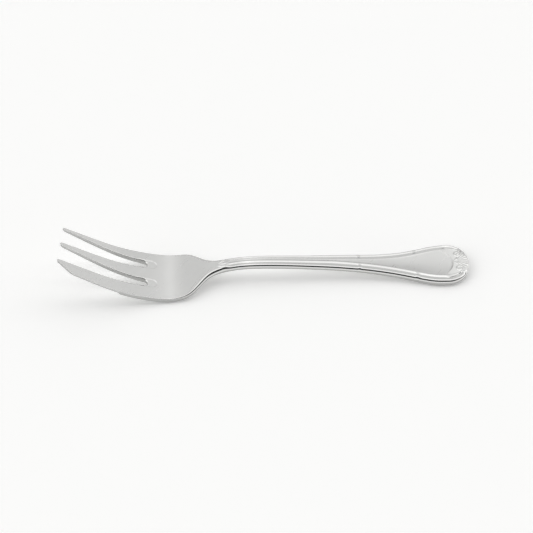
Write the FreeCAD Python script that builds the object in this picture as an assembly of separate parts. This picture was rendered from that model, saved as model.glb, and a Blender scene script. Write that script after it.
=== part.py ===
"""Pastry fork: one forged piece of stainless steel.

Millimetres. +Z is up, the tines point to -X and the handle's end to +X. The origin is on the
table under the middle of the fork, which lies face up on its palm and on its handle's end.
The wide cutting tine is on the -Y side, for a fork held in the right hand.

The bar is one loft from tips to end, whose cross-sections carry the thread border. A flat
outline seen from above then cuts the slots, the tips and the round end out of it.
"""
import FreeCAD, Part
import math
import os
from FreeCAD import Vector

# Lengths along the fork, one after the other from the tips
tine_length = 30.0          # tips to slot roots
palm_length = 31.0          # slot roots to the neck
shank_length = 45.0         # neck to where the handle starts to widen
handle_length = 44.0        # from there to the end

# Widths
head_width = 23.0
neck_width = 5.5
shank_width = 7.8           # where the handle starts to widen
handle_width = 19.3

# Tines: widths, and places across the fork
outer_tip_width = 1.2
middle_tip_width = 2.0
cutting_tip_width = 4.8     # as if its end were square
cutting_end_width = 1.6     # what is left of it beside the notch
outer_tip_y = 8.75
middle_tip_y = 0.55
cutting_tip_y = -9.7
slot_root_width = 2.8
far_slot_y = 5.6            # the middle of each slot's root
near_slot_y = -3.8
slot_root_radius = 1.3
outer_tip_back = 0.4        # the outer tine ends before tip_x by this
middle_tip_lead = 0.2       # the middle tine reaches past tip_x by this
cutting_tip_lead = 0.9      # and the cutting tine by this
notch_length = 4.3          # the slanted end of the cutting tine

# Heights of the upper face over the table
tip_height = 21.5
shank_height = 9.1
end_height = 4.0
corner_rise = 0.1           # where the handle is widest, over where it rests

# Thicknesses, upright, on the centre line
tip_thickness = 0.9
tine_thickness = 1.45       # where the tines are done thinning out towards their tips
tip_taper = 9.0             # how far from tip_x that is
palm_thickness = 2.05
neck_thickness = 3.2
handle_thickness = 3.15
end_thickness = 2.6

# The underside is rounded across from the neck to the handle: its sides lie higher than its
# middle by this. Where the fork rests it is a touch hollow, and stands on its two edges.
neck_crown = 0.95
rest_hollow = 0.1

# Broken edges along both sides
edge_round = 0.3            # the upper edge, on the tines and the palm
bead_round = 1.0            # the upper edge from the neck on, the outer bead's side
under_bevel = 0.5           # the lower edge

# The cutting tine's sharpened side, bevelled from below
bevel_length = 20.0
bevel_width = 1.5           # where the tine is tine_thickness thick
bevel_edge_thickness = 0.7

# The thread border: a groove between two beads, and the sunk panel that it frames
thread_width = 0.6
thread_depth = 0.25
panel_inset = 3.2           # from the outline to the middle of the panel's wall
channel_width = 0.5         # what the panel narrows to along the shank, at the least
panel_wall = 0.3
panel_depth = 0.3
panel_hollow = 0.15         # the panel's middle is deeper by this
border_lead = 4.0           # the border grows out of the palm over this length
border_end = 1.2            # and ends at the palmette over this one

# The most that the upper and the lower edge are broken by, over the thickness there
UPPER_EDGE = 0.35
LOWER_EDGE = 0.4

# The groove's middle, over the way from the outline to the panel's wall
THREAD_PLACE = 0.62

# The most that the outer bead is rounded by, over the way from the outline to the groove
BEAD_ROUND = 0.85

# How deep the round of a tip is, over the tip's width
TIP_ROUND = 0.45

# The round end of the handle, a wide arc between two corner arcs: their radii over its width
END_ROUND = 0.612
CORNER_ROUND = 0.4255

# The palmette on the end: flutes that spread from a hub
palmette_length = 6.6
flute_count = 7
flute_spread = 100.0        # degrees between the outermost flutes
flute_start = 1.4           # from the hub to where the grooves begin
flute_width = 1.0           # at the fork's end
flute_depth = 0.45

# Places along the fork
tip_x = -(tine_length + palm_length + shank_length + handle_length) / 2
root_x = tip_x + tine_length
palm_rest_x = root_x + 0.29 * palm_length
neck_x = root_x + palm_length
shank_top_x = neck_x + 0.22 * shank_length
shank_end_x = neck_x + shank_length
handle_rest_x = shank_end_x + 0.68 * handle_length
end_x = shank_end_x + handle_length
palmette_x = end_x - palmette_length
station_gap = 3.0           # between two cross-sections of the loft
clear = 3.0                 # how far the tools that shape the fork stand out past it
end_flare = 0.1             # the bar's side stands out past the round end by this
round_end_lead = 0.5        # the round end takes over from the bar's side this far on
same_place = 0.01           # what lies closer than this is at one place

# The end arcs: the corner arc starts where the handle is widest, along the fork's axis, and
# meets the end arc where both centres and the meeting point are in line
end_radius = END_ROUND * handle_width
corner_radius = CORNER_ROUND * handle_width
end_centre_x = end_x - end_radius
corner_y = handle_width / 2 - corner_radius
centre_step = end_radius - corner_radius
corner_x = end_centre_x + math.sqrt(centre_step ** 2 - corner_y ** 2)
meet_x = end_centre_x + (corner_x - end_centre_x) * end_radius / centre_step
meet_y = corner_y * end_radius / centre_step

# How the outlines and the profile run between two places: shares of the way along, and of
# the way from the first value to the second
OUTER_SIDE = [(0.4, 0.49), (0.8, 0.9)]
CUTTING_SIDE = [(0.4, 0.2), (0.8, 0.65)]
SHOULDER = [(0.24, 0.006), (0.387, 0.046), (0.516, 0.173), (0.613, 0.449), (0.71, 0.759),
            (0.839, 0.959)]
WAIST = [(0.267, 0.04), (0.533, 0.18), (0.822, 0.6)]
FLARE = [(0.168, 0.07), (0.336, 0.19), (0.476, 0.34), (0.70, 0.69), (0.85, 0.92)]
TINE_SWEEP = [(0.154, 0.218), (0.308, 0.437), (0.513, 0.7), (0.718, 0.884), (0.846, 0.962)]
PALM_RISE = [(0.157, 0.119), (0.251, 0.29), (0.345, 0.486), (0.533, 0.745), (0.752, 0.96)]
SHANK_FALL = [(0.263, 0.215), (0.54, 0.54), (0.848, 0.945)]


def between(start, stop, shares):
    """Stations from start up to, and without, stop."""
    (x0, v0), (x1, v1) = start, stop
    return [start] + [(x0 + a * (x1 - x0), v0 + b * (v1 - v0)) for a, b in shares]


def overrun(stations):
    """The stations, led on in line past both ends of the fork."""
    (xa, va), (xb, vb) = stations[:2]
    (xc, vc), (xd, vd) = stations[-2:]
    before = (xa - clear, va - (vb - va) / (xb - xa) * clear)
    after = (xd + clear, vd + (vd - vc) / (xd - xc) * clear)
    return [before] + stations + [after]


def curve_of(stations):
    """A smooth curve whose z is the value at each station, and whose parameter is x."""
    led_on = overrun(stations)
    curve = Part.BSplineCurve()
    curve.interpolate(Points=[Vector(x, 0, value) for x, value in led_on],
                      Parameters=[x for x, value in led_on])
    return curve


def value_on(curve, x):
    """The value of such a curve at x."""
    return curve.value(x).z


def value_at(x, stations):
    """The value at x, in line between the two nearest stations."""
    for (x0, v0), (x1, v1) in zip(stations, stations[1:]):
        if x <= x1:
            return v0 + (v1 - v0) * (x - x0) / (x1 - x0)
    return stations[-1][1]


BODY_SIDE = (between((root_x, head_width / 2), (neck_x, neck_width / 2), SHOULDER)
             + between((neck_x, neck_width / 2), (shank_end_x, shank_width / 2), WAIST)
             + between((shank_end_x, shank_width / 2), (corner_x, handle_width / 2), FLARE)
             + [(corner_x, handle_width / 2), (end_x, handle_width / 2 + end_flare)])
OUTER_TIP = (tip_x + outer_tip_back + TIP_ROUND * outer_tip_width,
             outer_tip_y + outer_tip_width / 2)
CUTTING_TIP = (tip_x, cutting_tip_width / 2 - cutting_tip_y)
far_side = curve_of(between(OUTER_TIP, BODY_SIDE[0], OUTER_SIDE) + BODY_SIDE)
near_side = curve_of(between(CUTTING_TIP, BODY_SIDE[0], CUTTING_SIDE) + BODY_SIDE)

PALM_REST = (palm_rest_x, palm_thickness)
SHANK_TOP = (shank_top_x, shank_height)
HANDLE_REST = (handle_rest_x, handle_thickness)
upper_face = curve_of(between((tip_x, tip_height), PALM_REST, TINE_SWEEP)
                      + between(PALM_REST, SHANK_TOP, PALM_RISE)
                      + between(SHANK_TOP, HANDLE_REST, SHANK_FALL)
                      + [HANDLE_REST, (corner_x, handle_thickness + corner_rise), (end_x, end_height)])

THICKNESS = overrun([(tip_x, tip_thickness), (tip_x + tip_taper, tine_thickness),
                     (root_x, palm_thickness), PALM_REST, (neck_x, neck_thickness),
                     HANDLE_REST, (end_x, end_thickness)])
CROWN = overrun([(tip_x, -rest_hollow), (palm_rest_x, -rest_hollow), (neck_x, neck_crown),
                 (shank_end_x, neck_crown), (handle_rest_x, -rest_hollow),
                 (end_x, -rest_hollow)])
BORDER = overrun([(tip_x, 0.0), (neck_x - border_lead, 0.0), (neck_x, 1.0), (palmette_x, 1.0),
                  (palmette_x + border_end, 0.0), (end_x, 0.0)])
EDGE = overrun([(tip_x, edge_round), (palm_rest_x, edge_round), (neck_x, bead_round),
                (end_x, bead_round)])


def section(x):
    """The cross-section at x: the border's beads above, a shallow bowl below.

    It is a closed row of stretches, each a list of the two or three poles of a Bezier curve.
    """
    top = value_on(upper_face, x)
    thickness = value_at(x, THICKNESS)
    bottom = top - thickness
    crown = value_at(x, CROWN)
    border = value_at(x, BORDER)
    far_y = value_on(far_side, x)
    near_y = -value_on(near_side, x)
    middle = (far_y + near_y) / 2
    half = (far_y - near_y) / 2
    groove = thread_depth * border
    sunk = panel_depth * border
    hollow = panel_hollow * border
    wall = min(panel_inset, half - channel_width / 2)
    thread = THREAD_PLACE * wall
    rounded = min(value_at(x, EDGE), UPPER_EDGE * thickness,
                  BEAD_ROUND * (thread - thread_width / 2))
    bevel = min(under_bevel, LOWER_EDGE * thickness)

    def bowl(inset):
        return bottom + crown * ((half - inset) / half) ** 2

    # The poles of one flank, as inset from the side and height, from the panel outwards
    flank = [
        [(wall + panel_wall / 2, top - sunk), (wall - panel_wall / 2, top)],
        [(wall - panel_wall / 2, top), (thread + thread_width / 2, top)],
        [(thread + thread_width / 2, top), (thread, top - groove)],
        [(thread, top - groove), (thread - thread_width / 2, top)],
        [(thread - thread_width / 2, top), (rounded, top)],
        [(rounded, top), (0, top), (0, top - rounded)],
        [(0, top - rounded), (0, bottom + crown + bevel)],
        [(0, bottom + crown + bevel), (bevel, bowl(bevel))],
    ]

    def placed(side, poles):
        return [Vector(x, middle + side * (half - inset), z) for inset, z in poles]

    def across(start, stop, height):
        """A shallow curve from one flank to the other, whose middle is at height."""
        return [start, Vector(x, middle, 2 * height - start.z), stop]

    far = [placed(1, poles) for poles in flank]
    near = [placed(-1, poles)[::-1] for poles in flank[::-1]]
    above = across(near[-1][-1], far[0][0], top - sunk - hollow)
    below = across(far[-1][-1], near[0][0], bottom)
    return [above] + far + [below] + near


def skin(rows, places):
    """The smooth surface through one stretch of every cross-section."""
    paths = []
    for row in zip(*rows):
        path = Part.BSplineCurve()
        path.interpolate(Points=list(row), Parameters=places)
        paths.append(path)
    along = paths[0]
    degree = len(paths) - 1
    surface = Part.BSplineSurface()
    surface.buildFromPolesMultsKnots([path.getPoles() for path in paths],
                                     [degree + 1] * 2, along.getMultiplicities(),
                                     [0, 1], along.getKnots(), False, False,
                                     degree, along.Degree)
    return surface.toShape()


def end_face(stretches):
    edges = []
    for poles in stretches:
        curve = Part.BezierCurve()
        curve.setPoles(poles)
        edges.append(curve.toShape())
    return Part.Face(Part.Wire(edges))


def make_bar():
    """The fork as one bar, with neither slots nor round end."""
    first = tip_x - clear / 2
    last = end_x + clear / 2
    count = round((last - first) / station_gap)
    places = [first + (last - first) * k / count for k in range(count + 1)]
    sections = [section(x) for x in places]
    faces = [skin(rows, places) for rows in zip(*sections)]
    faces += [end_face(sections[0]), end_face(sections[-1])]
    shell = Part.makeShell(faces)
    shell.sewShape()
    return Part.Solid(shell)


def line_through(points):
    """The straight edges that join points one after the other."""
    return [Part.makeLine(a, b) for a, b in zip(points, points[1:])]


def outline():
    """What is kept of the bar, seen from above: slots, tips and round end."""
    beyond = head_width / 2 + clear
    half_slot = slot_root_width / 2
    cutting_far = cutting_tip_y + cutting_tip_width / 2
    cutting_near = cutting_tip_y - cutting_tip_width / 2
    arc_x = corner_x + round_end_lead
    arc_y = corner_y + math.sqrt(corner_radius ** 2 - round_end_lead ** 2)

    def tip(x, y, width):
        """Where a tip's round leaves the tine's far side, its foremost point, and the near."""
        back = x + TIP_ROUND * width
        return Vector(back, y + width / 2), Vector(x, y), Vector(back, y - width / 2)

    def slot(start, slot_y, stop):
        return line_through([start, Vector(root_x, slot_y + half_slot),
                             Vector(root_x, slot_y - half_slot), stop])

    outer = tip(tip_x + outer_tip_back, outer_tip_y, outer_tip_width)
    middle = tip(tip_x - middle_tip_lead, middle_tip_y, middle_tip_width)
    cutting = tip(tip_x - cutting_tip_lead, cutting_far - cutting_end_width / 2, cutting_end_width)
    first = Vector(outer[0].x, beyond)
    front = [Part.makeLine(first, outer[0]), Part.Arc(*outer).toShape()]
    front += slot(outer[2], far_slot_y, middle[0])
    front.append(Part.Arc(*middle).toShape())
    front += slot(middle[2], near_slot_y, cutting[0])
    front.append(Part.Arc(*cutting).toShape())
    slant = (cutting_near - cutting[2].y) / (tip_x + notch_length - cutting[2].x)
    notch_run = (beyond + cutting[2].y) / -slant
    front += line_through([cutting[2], Vector(cutting[2].x + notch_run, -beyond),
                           Vector(arc_x, -beyond), Vector(arc_x, -arc_y)])
    corner = Vector(corner_x, corner_y)
    meet = Vector(meet_x, meet_y)
    halfway = (meet - corner).normalize() + Vector(0, 1)
    halfway = corner + halfway.normalize() * corner_radius

    def mirrored(point):
        return Vector(point.x, -point.y)

    end = [
        Part.Arc(Vector(arc_x, -arc_y), mirrored(halfway), mirrored(meet)).toShape(),
        Part.Arc(mirrored(meet), Vector(end_x, 0), meet).toShape(),
        Part.Arc(meet, halfway, Vector(arc_x, arc_y)).toShape(),
    ]
    back = line_through([Vector(arc_x, arc_y), Vector(arc_x, beyond), first])
    return Part.Wire(front + end + back)


def make_outline_solid():
    """The outline as a tall prism, with round slot roots."""
    prism = Part.Face(outline()).extrude(Vector(0, 0, tip_height + 2 * clear))
    prism.translate(Vector(0, 0, -clear))
    roots = []
    for edge in prism.Edges:
        box = edge.BoundBox
        if box.ZLength > tip_height and abs(box.XMin - root_x) < same_place:
            roots.append(edge)
    return prism.makeFillet(slot_root_radius, roots)


def make_bevel():
    """The wedge taken from under the cutting tine's outer side."""
    stations = [tip_x - clear + (bevel_length + clear) * k / 6 for k in range(7)]
    side_y = cutting_tip_y - cutting_tip_width / 2
    blade = Part.BSplineCurve()
    blade.interpolate([Vector(x, side_y, value_on(upper_face, x)) for x in stations])
    edge = blade.toShape()
    slant = Vector(0, bevel_width, bevel_edge_thickness - tine_thickness)
    edge.translate(Vector(0, 0, -bevel_edge_thickness) - slant)
    return edge.extrude(slant * 3).extrude(Vector(0, 0, -2 * clear))


def make_flutes():
    """The cuts between the palmette's ribs: a fan of V-shaped grooves from the hub."""
    reach = palmette_length + clear
    flutes = []
    for k in range(flute_count):
        angle = math.radians(flute_spread * (k / (flute_count - 1) - 0.5))
        along = Vector(math.cos(angle), math.sin(angle), 0)
        across = Vector(-along.y, along.x, 0)
        ends = []
        for distance, grown in ((flute_start, flute_start / palmette_length),
                                (reach, reach / palmette_length)):
            x = palmette_x + distance * along.x
            base = Vector(x, distance * along.y, value_on(upper_face, min(x, end_x)))
            half = across * (flute_width / 2 * grown)
            depth = Vector(0, 0, flute_depth * grown)
            corners = [base - depth, base + half * 2 + depth, base - half * 2 + depth]
            ends.append(Part.makePolygon(corners + corners[:1]))
        flutes.append(Part.makeLoft(ends, True, True))
    return flutes


fork = make_bar().common(make_outline_solid())
fork = fork.cut([make_bevel()] + make_flutes())
fork.translate(Vector(0, 0, -fork.optimalBoundingBox(True, False).ZMin))
os.makedirs("parts", exist_ok=True)
fork.exportStep("parts/fork.step")
print(fork.isValid(), fork.Volume, fork.optimalBoundingBox(True, False), len(fork.Solids))
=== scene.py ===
import math

import bpy
import numpy as np
from bpy.props import FloatProperty, FloatVectorProperty, PointerProperty
from bpy.types import Operator, Panel, PropertyGroup
from mathutils import Matrix, Vector
from mathutils.geometry import delaunay_2d_cdt


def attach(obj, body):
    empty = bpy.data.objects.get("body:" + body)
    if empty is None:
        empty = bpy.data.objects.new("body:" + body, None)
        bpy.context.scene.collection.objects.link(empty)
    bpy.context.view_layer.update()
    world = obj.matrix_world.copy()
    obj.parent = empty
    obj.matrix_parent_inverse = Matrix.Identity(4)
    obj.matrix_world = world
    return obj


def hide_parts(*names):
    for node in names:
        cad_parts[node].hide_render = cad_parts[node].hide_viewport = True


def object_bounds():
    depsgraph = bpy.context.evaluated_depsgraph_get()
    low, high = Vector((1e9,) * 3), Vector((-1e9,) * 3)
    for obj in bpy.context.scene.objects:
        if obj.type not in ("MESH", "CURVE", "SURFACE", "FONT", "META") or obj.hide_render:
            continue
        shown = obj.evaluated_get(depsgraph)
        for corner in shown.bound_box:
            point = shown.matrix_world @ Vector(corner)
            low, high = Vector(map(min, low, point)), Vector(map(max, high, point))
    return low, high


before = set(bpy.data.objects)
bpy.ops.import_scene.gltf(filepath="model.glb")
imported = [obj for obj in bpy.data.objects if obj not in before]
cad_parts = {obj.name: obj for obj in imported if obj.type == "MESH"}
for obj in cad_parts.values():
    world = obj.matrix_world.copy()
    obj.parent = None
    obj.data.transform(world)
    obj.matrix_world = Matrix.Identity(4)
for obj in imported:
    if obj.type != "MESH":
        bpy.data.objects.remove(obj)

bl_info = {
    "name": "Pastry fork",
    "version": (1, 0, 0),
    "blender": (4, 5, 0),
    "location": "3D View > Sidebar > Pastry fork",
    "description": "A forged steel pastry fork with a thread border, and its table-top studio",
    "category": "Add Mesh",
}

CAD_BOX = [list(corner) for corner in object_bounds()]
MM = 0.001

# ---------------------------------------------------------------------------------------
# The fork's form, in millimetres. x runs from the tines (-) to the handle's end (+), y is
# positive on the outer tine's side, and z is the height over the table.
# ---------------------------------------------------------------------------------------
# Lengths one after the other, and the places along the fork
TINES, PALM, SHANK, HANDLE = 30.0, 31.0, 45.0, 44.0
TIP_X = -(TINES + PALM + SHANK + HANDLE) / 2
ROOT_X = TIP_X + TINES                          # the slots' roots
PALM_REST_X = ROOT_X + 0.29 * PALM              # where the palm lies on the table
NECK_X = ROOT_X + PALM
SHANK_TOP_X = NECK_X + 0.22 * SHANK
SHANK_END_X = NECK_X + SHANK                    # where the handle starts to widen
HANDLE_REST_X = SHANK_END_X + 0.68 * HANDLE     # where the handle lies on the table
END_X = SHANK_END_X + HANDLE
CURVE_LEAD = 3.0            # how far the curves run on in line past both ends

HEAD_WIDTH, NECK_WIDTH, SHANK_WIDTH, HANDLE_WIDTH = 23.0, 5.5, 7.8, 19.3

# Heights of the upper face, and thicknesses upright on the centre line
TIP_HEIGHT, SHANK_HEIGHT, END_HEIGHT = 21.5, 9.1, 4.0
CORNER_RISE = 0.1           # where the handle is widest, over where it rests
LEAD_THICKNESS, TIP_THICKNESS, TINE_THICKNESS, PALM_THICKNESS = 0.72, 0.9, 1.45, 2.05
NECK_THICKNESS, HANDLE_THICKNESS, END_THICKNESS = 3.2, 3.15, 2.6
TIP_TAPER = 9.0             # the tines thin out over this length
NECK_CROWN, REST_HOLLOW = 0.95, 0.1     # how the underside is rounded across, and hollow

# The tines' tips: widths, places across, and how far forward each one reaches
OUTER_WIDTH, MIDDLE_WIDTH, CUTTING_WIDTH = 1.2, 2.0, 4.8
CUTTING_END_WIDTH = 1.6     # what the notch leaves of the cutting tine's tip
OUTER_Y, MIDDLE_Y, CUTTING_Y = 8.75, 0.55, -9.7
OUTER_X, MIDDLE_X, CUTTING_X = TIP_X + 0.4, TIP_X - 0.2, TIP_X - 0.9
TIP_ROUND = 0.45            # how deep the round of a tip is, over its width
NOTCH_LENGTH, NOTCH_ROUND = 4.3, 2.4
FAR_SLOT_Y, NEAR_SLOT_Y = 5.6, -3.8
SLOT_WIDTH, SLOT_ROUND = 2.8, 1.3
BEVEL_LENGTH, BEVEL_WIDTH, BEVEL_EDGE = 20.0, 1.5, 0.7

# The round end of the handle: a wide arc between two corner arcs
END_RADIUS = 0.612 * HANDLE_WIDTH
CORNER_RADIUS = 0.4255 * HANDLE_WIDTH
END_CENTRE_X = END_X - END_RADIUS
CORNER_Y = HANDLE_WIDTH / 2 - CORNER_RADIUS
CORNER_X = END_CENTRE_X + math.sqrt((END_RADIUS - CORNER_RADIUS) ** 2 - CORNER_Y ** 2)
END_FLARE = 0.1             # the handle's side runs on past the corner arc by this

# Shares of the way between two places, and of the way between their two values
OUTER_SIDE = [(0.4, 0.49), (0.8, 0.9)]
CUTTING_SIDE = [(0.4, 0.2), (0.8, 0.65)]
SHOULDER = [(0.24, 0.006), (0.387, 0.046), (0.516, 0.173), (0.613, 0.449), (0.71, 0.759),
            (0.839, 0.959)]
WAIST = [(0.267, 0.04), (0.533, 0.18), (0.822, 0.6)]
FLARE = [(0.168, 0.07), (0.336, 0.19), (0.476, 0.34), (0.70, 0.69), (0.85, 0.92)]
TINE_SWEEP = [(0.154, 0.218), (0.308, 0.437), (0.513, 0.7), (0.718, 0.884), (0.846, 0.962)]
PALM_RISE = [(0.157, 0.119), (0.251, 0.29), (0.345, 0.486), (0.533, 0.745), (0.752, 0.96)]
SHANK_FALL = [(0.263, 0.2), (0.54, 0.49), (0.848, 0.91)]


def between(start, stop, shares):
    """Stations from start up to, and without, stop."""
    (x0, v0), (x1, v1) = start, stop
    return [start] + [(x0 + a * (x1 - x0), v0 + b * (v1 - v0)) for a, b in shares]


class Curve:
    """A smooth curve through stations, as a natural cubic spline over x."""

    def __init__(self, stations):
        (xa, va), (xb, vb) = stations[:2]
        (xc, vc), (xd, vd) = stations[-2:]
        before = (xa - CURVE_LEAD, va - (vb - va) / (xb - xa) * CURVE_LEAD)
        after = (xd + CURVE_LEAD, vd + (vd - vc) / (xd - xc) * CURVE_LEAD)
        self.x, self.v = np.array([before] + stations + [after]).T
        count = len(self.x)
        step = np.diff(self.x)
        slope = np.diff(self.v) / step
        matrix = np.eye(count)
        right = np.zeros(count)
        for k in range(1, count - 1):
            matrix[k, k - 1:k + 2] = step[k - 1], 2 * (step[k - 1] + step[k]), step[k]
            right[k] = 6 * (slope[k] - slope[k - 1])
        self.bend = np.linalg.solve(matrix, right)

    def __call__(self, x):
        x = np.asarray(x, float)
        k = np.clip(np.searchsorted(self.x, x) - 1, 0, len(self.x) - 2)
        step = self.x[k + 1] - self.x[k]
        a = (self.x[k + 1] - x) / step
        b = 1 - a
        curved = ((a ** 3 - a) * self.bend[k] + (b ** 3 - b) * self.bend[k + 1]) * step ** 2 / 6
        return a * self.v[k] + b * self.v[k + 1] + curved


def straight(*stations):
    """Values in line between stations."""
    places, values = np.array(stations).T
    return lambda x: np.interp(x, places, values)


def smooth(low, high, value):
    """0 at low, 1 at high, and an even S between them. Low may be the larger one."""
    share = np.clip((value - low) / (high - low), 0, 1)
    return share * share * (3 - 2 * share)


def unit(vectors):
    """The vectors at a length of 1."""
    return vectors / np.linalg.norm(vectors, axis=1)[:, None]


# The outline, as distances from the centre line
BODY_SIDE = (between((ROOT_X, HEAD_WIDTH / 2), (NECK_X, NECK_WIDTH / 2), SHOULDER)
             + between((NECK_X, NECK_WIDTH / 2), (SHANK_END_X, SHANK_WIDTH / 2), WAIST)
             + between((SHANK_END_X, SHANK_WIDTH / 2), (CORNER_X, HANDLE_WIDTH / 2), FLARE)
             + [(CORNER_X, HANDLE_WIDTH / 2), (END_X, HANDLE_WIDTH / 2 + END_FLARE)])
OUTER_TIP = (OUTER_X + TIP_ROUND * OUTER_WIDTH, OUTER_Y + OUTER_WIDTH / 2)
CUTTING_TIP = (TIP_X, CUTTING_WIDTH / 2 - CUTTING_Y)
far_side = Curve(between(OUTER_TIP, BODY_SIDE[0], OUTER_SIDE) + BODY_SIDE)
near_side = Curve(between(CUTTING_TIP, BODY_SIDE[0], CUTTING_SIDE) + BODY_SIDE)

# The profile, which rests on the palm and on the handle
PALM_REST = (PALM_REST_X, PALM_THICKNESS)
SHANK_TOP = (SHANK_TOP_X, SHANK_HEIGHT)
HANDLE_REST = (HANDLE_REST_X, HANDLE_THICKNESS)
upper_face = Curve(between((TIP_X, TIP_HEIGHT), PALM_REST, TINE_SWEEP)
                   + between(PALM_REST, SHANK_TOP, PALM_RISE)
                   + between(SHANK_TOP, HANDLE_REST, SHANK_FALL)
                   + [HANDLE_REST, (CORNER_X, HANDLE_THICKNESS + CORNER_RISE),
                      (END_X, END_HEIGHT)])
thickness = straight((TIP_X - CURVE_LEAD, LEAD_THICKNESS), (TIP_X, TIP_THICKNESS),
                     (TIP_X + TIP_TAPER, TINE_THICKNESS), (ROOT_X, PALM_THICKNESS), PALM_REST,
                     (NECK_X, NECK_THICKNESS), HANDLE_REST, (END_X, END_THICKNESS))
crown = straight((PALM_REST_X, -REST_HOLLOW), (NECK_X, NECK_CROWN), (SHANK_END_X, NECK_CROWN),
                 (HANDLE_REST_X, -REST_HOLLOW))

# ---------------------------------------------------------------------------------------
# Outline
# ---------------------------------------------------------------------------------------
# How many points each stretch is drawn with, before they are spaced evenly
TIP_POINTS, ROUND_POINTS, SIDE_POINTS, CORNER_POINTS, END_POINTS = 24, 12, 500, 60, 90
NOTCH_SEARCH, NOTCH_POINTS = 12.0, 400      # where the notch may meet the tine's side
NOTCH_LEAD = 4.0            # the side is drawn up to this far behind the notch
JOIN = 0.1                  # between the ends of two stretches
TIES_X = (33.6, 54.9)       # where bands cross the border

# Between the edge's points: the least, what comes on along plain sides, and less on the handle
EDGE_STEP, EDGE_MORE, EDGE_LESS = 0.12, 0.3, 0.12
TIE_STEP = 0.4              # the share of what comes on that stays at the ties
# Where the sides grow plain: along the fork, then away from the roots and from the ties
OFF_TIPS, OFF_ROOTS, OFF_TIES = (TIP_X + 1.2, TIP_X + 3), (0.5, 2.0), (2.0, 3.0)


def arc(centre, radius, start, stop, count):
    """Points on an arc, angles in radians."""
    angles = np.linspace(start, stop, count)
    return [(centre[0] + radius * math.cos(a), centre[1] + radius * math.sin(a)) for a in angles]


def tip_arc(x, y, width):
    """The round of a tine's tip, from its near side to its far side. x is its foremost place."""
    depth = TIP_ROUND * width
    radius = (depth ** 2 + width ** 2 / 4) / (2 * depth)
    reach = math.asin(width / 2 / radius)
    return arc((x + radius, y), radius, math.pi + reach, math.pi - reach, TIP_POINTS)


def rounded(points, radii):
    """An open path with its corners rounded."""
    path = []
    for k, (point, radius) in enumerate(zip(points, radii)):
        if not radius:
            path.append(point)
            continue
        here = np.array(point)
        back = np.array(points[k - 1]) - here
        ahead = np.array(points[k + 1]) - here
        back /= np.linalg.norm(back)
        ahead /= np.linalg.norm(ahead)
        half = math.acos(np.clip(back @ ahead, -1, 1)) / 2
        reach = radius / math.tan(half)
        middle = (back + ahead) / np.linalg.norm(back + ahead)
        centre = here + middle * radius / math.sin(half)
        first = here + back * reach - centre
        last = here + ahead * reach - centre
        start = math.atan2(first[1], first[0])
        turn = math.atan2(last[1], last[0]) - start
        turn = (turn + math.pi) % (2 * math.pi) - math.pi
        path += arc(centre, radius, start, start + turn, ROUND_POINTS)
    return path


def outline():
    """The fork's edge seen from above, clockwise from the outer tine's tip."""
    half_slot = SLOT_WIDTH / 2
    cutting_far = CUTTING_Y + CUTTING_WIDTH / 2
    outer = tip_arc(OUTER_X, OUTER_Y, OUTER_WIDTH)
    middle = tip_arc(MIDDLE_X, MIDDLE_Y, MIDDLE_WIDTH)
    cutting = tip_arc(CUTTING_X, cutting_far - CUTTING_END_WIDTH / 2, CUTTING_END_WIDTH)
    along = np.linspace(outer[-1][0] + JOIN, CORNER_X, SIDE_POINTS)
    far = [(x, float(far_side(x))) for x in along]
    meet = math.atan2(CORNER_Y, CORNER_X - END_CENTRE_X)
    end = arc((CORNER_X, CORNER_Y), CORNER_RADIUS, math.pi / 2, meet, CORNER_POINTS)
    end += arc((END_CENTRE_X, 0), END_RADIUS, meet, -meet, END_POINTS)[1:]
    end += arc((CORNER_X, -CORNER_Y), CORNER_RADIUS, -meet, -math.pi / 2, CORNER_POINTS)[1:]

    # The notch runs straight from the cutting tip to the tine's side, and is rounded there
    start_x, start_y = cutting[0]
    slant = (CUTTING_Y - CUTTING_WIDTH / 2 - start_y) / (TIP_X + NOTCH_LENGTH - start_x)
    near_xs = np.linspace(TIP_X, TIP_X + NOTCH_SEARCH, NOTCH_POINTS)
    gap = -near_side(near_xs) - (start_y + slant * (near_xs - start_x))
    notch_x = float(near_xs[np.argmax(gap > 0)])
    corner = (notch_x, -float(near_side(notch_x)))
    lead_x = notch_x + NOTCH_LEAD
    lead = (lead_x, -float(near_side(lead_x)))
    notch = rounded([lead, corner, cutting[0]], [0, NOTCH_ROUND, 0])
    back = [(x, -float(near_side(x))) for x in along[::-1] if x > lead_x + JOIN]

    def slot(start, slot_y, stop):
        corners = [start, (ROOT_X, slot_y - half_slot), (ROOT_X, slot_y + half_slot), stop]
        return rounded(corners, [0, SLOT_ROUND, SLOT_ROUND, 0])[1:-1]

    front = cutting[1:] + slot(cutting[-1], NEAR_SLOT_Y, middle[0]) + middle
    front += slot(middle[-1], FAR_SLOT_Y, outer[0]) + outer
    path = np.array(far + end[1:] + back[1:] + notch + front)
    low, high = (np.array(corner[:2]) / MM for corner in CAD_BOX)
    return np.clip(path, low, high)


def spaced(path, step):
    """A closed path with even steps, of a length that step gives for each place."""
    closed = np.vstack([path, path[:1]])
    run = np.hypot(*np.diff(closed, axis=0).T)
    closed = closed[np.append(run > 1e-6, True)]
    run = np.hypot(*np.diff(closed, axis=0).T)
    middle = (closed[1:] + closed[:-1]) / 2
    weight = np.cumsum(np.append(0, run / step(middle)))
    count = int(round(weight[-1]))
    wanted = np.linspace(0, weight[-1], count, endpoint=False)
    return np.stack([np.interp(wanted, weight, closed[:, k]) for k in (0, 1)], axis=1)


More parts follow.
